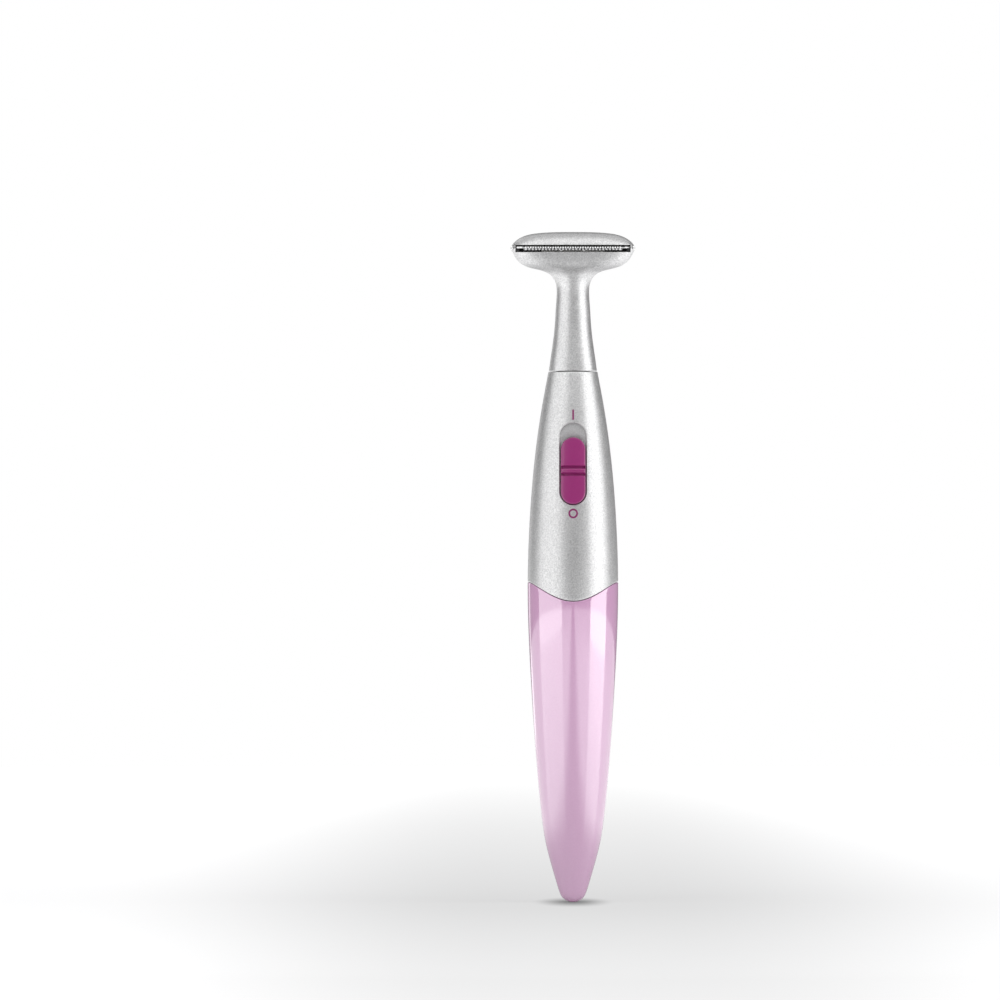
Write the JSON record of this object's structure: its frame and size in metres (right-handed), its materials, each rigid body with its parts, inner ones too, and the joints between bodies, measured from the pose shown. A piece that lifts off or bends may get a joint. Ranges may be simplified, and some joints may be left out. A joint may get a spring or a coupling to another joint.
{
  "type": "battery bikini trimmer",
  "caption": "Slim round battery trimmer with a pull-off battery cover, slide switch and pull-off T-shaped head with a fixed comb and a rocking cutter.",
  "frame": {"origin": "lowest point of the rounded tip, on the handle's axis", "axes": "+Z along the handle towards the trimmer head, -Y towards the user (switch and blade side), +X to the right of someone facing the switch"},
  "size_m": [0.0318, 0.023, 0.1701],
  "materials": {
    "housing_paint": "satin silver paint on moulded plastic",
    "cover_gloss": "glossy pearl pink",
    "knob_magenta": "glossy magenta",
    "inner_plastic": "moulded natural",
    "dark_plastic": "black moulded",
    "seal_rubber": "matte",
    "cell_steel": "plated",
    "spring_steel": "nickel plated",
    "blade_steel": "ground stainless",
    "strip_brass": "stamped",
    "can_steel": "plated",
    "magnet_dark": "bonded magnet",
    "brush_carbon": "carbon",
    "copper_wire": "enamelled copper",
    "screw_steel": "zinc plated",
    "white_acetal": "acetal"
  },
  "bodies": {
    "handle": {"upper_housing": "housing_paint", "chassis_frame": "inner_plastic", "cover_seal": "seal_rubber", "battery_cell": "cell_steel", "positive_contact": "strip_brass", "negative_spring": "spring_steel", "positive_strip": "strip_brass", "negative_strip": "strip_brass", "motor_strip": "strip_brass", "motor_can": "can_steel", "motor_end_cap": "dark_plastic", "front_bush": "strip_brass", "rear_bush": "strip_brass", "motor_magnets": "magnet_dark", "motor_brushes": "brush_carbon", "motor_terminals": "strip_brass", "motor_screws": "screw_steel", "drive_collar": "inner_plastic", "spindle_seal": "seal_rubber", "socket_ring": "seal_rubber"},
    "switch": {"switch_knob": "knob_magenta", "switch_slider": "inner_plastic", "switch_wiper": "strip_brass"},
    "rotor": {"motor_shaft": "screw_steel", "rotor_core": "can_steel", "rotor_windings": "copper_wire", "commutator": "copper_wire", "drive_spindle": "white_acetal", "eccentric_pin": "screw_steel"},
    "cover": {"battery_cover": "cover_gloss"},
    "head": {"head_shell": "housing_paint", "head_cap": "housing_paint", "comb_blade": "blade_steel", "blade_seat": "dark_plastic", "comb_clamp": "dark_plastic", "comb_catches": "housing_paint", "blade_spring": "spring_steel", "lever_bracket": "inner_plastic", "lever_pin": "screw_steel"},
    "cutter": {"cutter_blade": "blade_steel", "cutter_carrier": "white_acetal"},
    "lever": {"swing_lever": "white_acetal"}
  },
  "joints": [
    {"name": "power_switch", "type": "slide", "parent": "handle", "child": "switch", "axis": [0, 0.1066, 0.9943], "range_m": [0, 0.0034]},
    {"name": "motor_spin", "type": "hinge", "parent": "handle", "child": "rotor", "pos_m": [0, 0, 0.12], "axis": [0, 0, 1], "continuous": true},
    {"name": "cover_pull", "type": "slide", "parent": "handle", "child": "cover", "axis": [0, 0, -1], "range_m": [0, 0.08]},
    {"name": "head_pull", "type": "slide", "parent": "handle", "child": "head", "axis": [0, 0, 1], "range_m": [0, 0.02]},
    {"name": "cutter_slide", "type": "slide", "parent": "head", "child": "cutter", "axis": [1, 0, 0], "range_m": [-0.00093, 0.00093]},
    {"name": "lever_swing", "type": "hinge", "parent": "head", "child": "lever", "pos_m": [0, 0, 0.1505], "axis": [0, 1, 0], "range_deg": [-4.2, 4.2]}
  ],
  "couplings": [
    {"joint": "lever_swing", "follows": "cutter_slide", "rad_per_m": 74.627}
  ]
}
